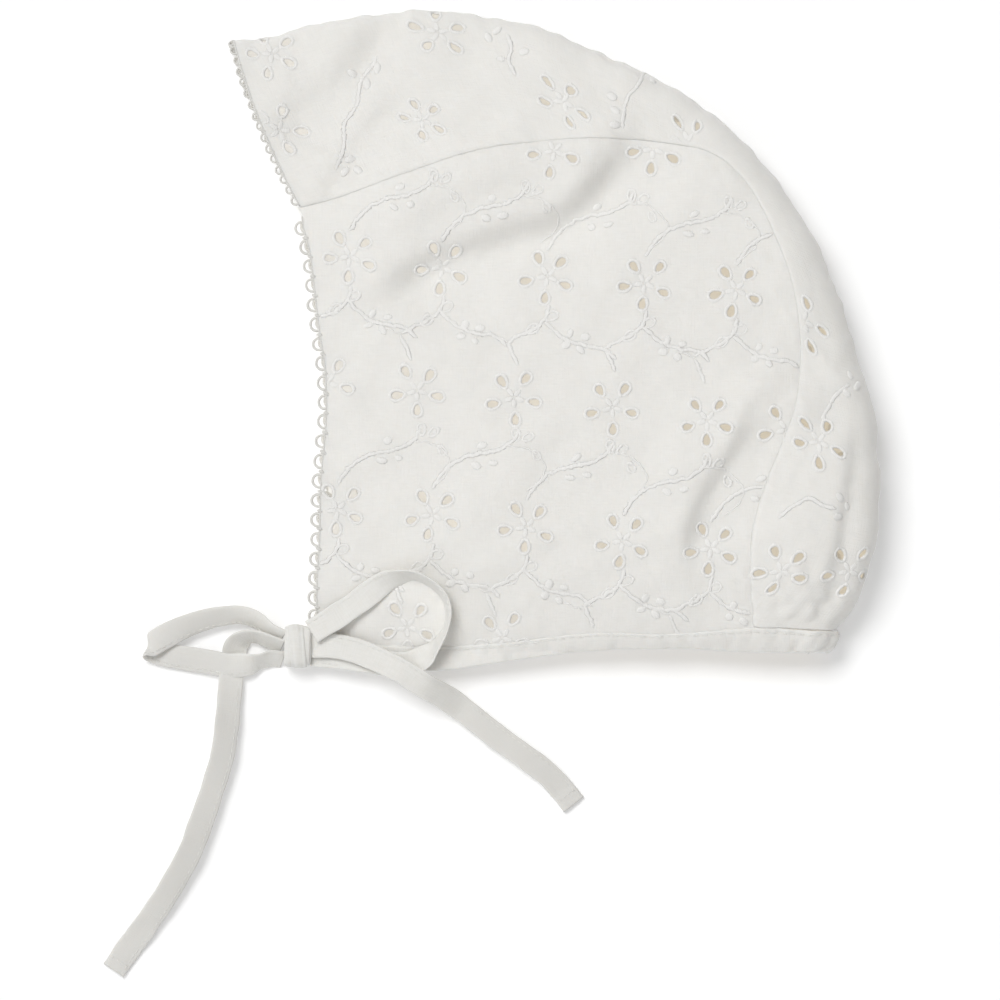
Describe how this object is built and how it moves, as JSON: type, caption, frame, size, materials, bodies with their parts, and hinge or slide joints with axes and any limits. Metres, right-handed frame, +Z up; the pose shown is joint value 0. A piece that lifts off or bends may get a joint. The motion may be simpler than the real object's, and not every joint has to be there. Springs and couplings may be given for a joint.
{
  "type": "infant's eyelet bonnet with a tied bow",
  "caption": "Infant bonnet of pierced cotton lying on its side: two side panels, crown strip, neck band, looped face edging and ties in a bow.",
  "frame": {"origin": "on the surface it lies on, under the middle of the bonnet without its ties", "axes": "+X towards the nape, +Y towards the crown, +Z up from the side it lies on"},
  "size_m": [0.217, 0.2702, 0.027],
  "materials": {
    "cotton": "matt white cotton cambric with cut and stitched eyelet flowers",
    "band_cotton": "plain matt white cotton, folded and stitched",
    "edging_thread": "twisted white cotton thread in small loops",
    "tie_tape": "folded and topstitched white cotton tape"
  },
  "bodies": {
    "root": {"near_side_panel": "cotton", "far_side_panel": "cotton", "crown_strip": "cotton", "neck_band": "band_cotton", "near_loop_edging": "edging_thread", "far_loop_edging": "edging_thread", "bow_knot": "tie_tape", "left_bow_loop": "tie_tape", "left_tie_tail": "tie_tape", "right_bow_loop": "tie_tape", "right_tie_tail": "tie_tape"}
  },
  "joints": []
}
